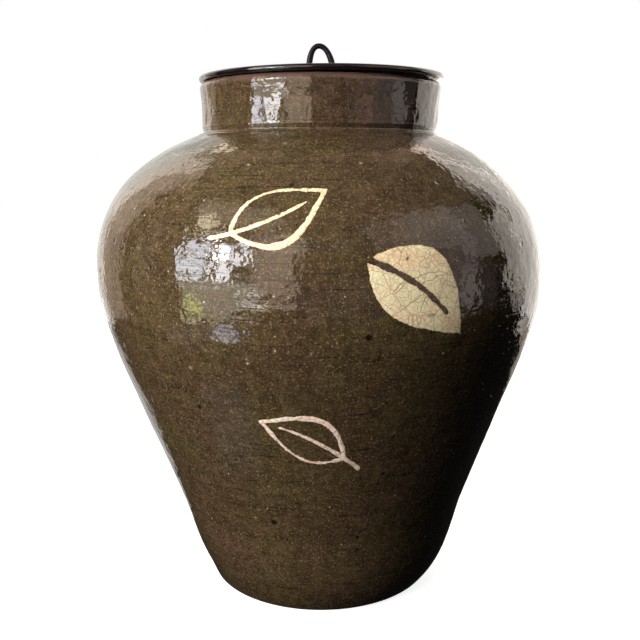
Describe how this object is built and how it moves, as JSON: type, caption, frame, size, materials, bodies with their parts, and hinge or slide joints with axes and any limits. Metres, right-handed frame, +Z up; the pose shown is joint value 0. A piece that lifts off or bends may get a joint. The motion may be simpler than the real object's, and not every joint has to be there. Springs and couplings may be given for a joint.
{
  "type": "tea storage jar",
  "caption": "Round-bellied glazed stoneware jar for storing tea, with a short neck, slip leaf inlays and a flat lacquered lid that lifts off by a finger loop.",
  "frame": {"origin": "middle of the flat base, on the surface that the jar stands on", "axes": "+Z up along the jar's own axis, -Y towards the front where the leaf inlays are, +X to the right seen from the front"},
  "size_m": [0.312, 0.312, 0.3828],
  "materials": {
    "glaze": "glossy olive-brown glaze",
    "slip": "cream slip under clear crackled glaze",
    "lacquer": "black lacquer, polished",
    "black_iron": "blackened iron, satin"
  },
  "bodies": {
    "jar": {"jar_body": "glaze", "upper_leaf_inlay": "slip", "filled_leaf_inlay": "slip", "lower_leaf_inlay": "slip"},
    "lid": {"lid_board": "lacquer", "lid_hoop": "lacquer", "finger_loop": "black_iron", "loop_washer_left": "black_iron", "loop_washer_right": "black_iron"}
  },
  "joints": [
    {"name": "lid_lift", "type": "slide", "parent": "jar", "child": "lid", "axis": [0, 0, 1], "range_m": [0, 0.12]}
  ]
}
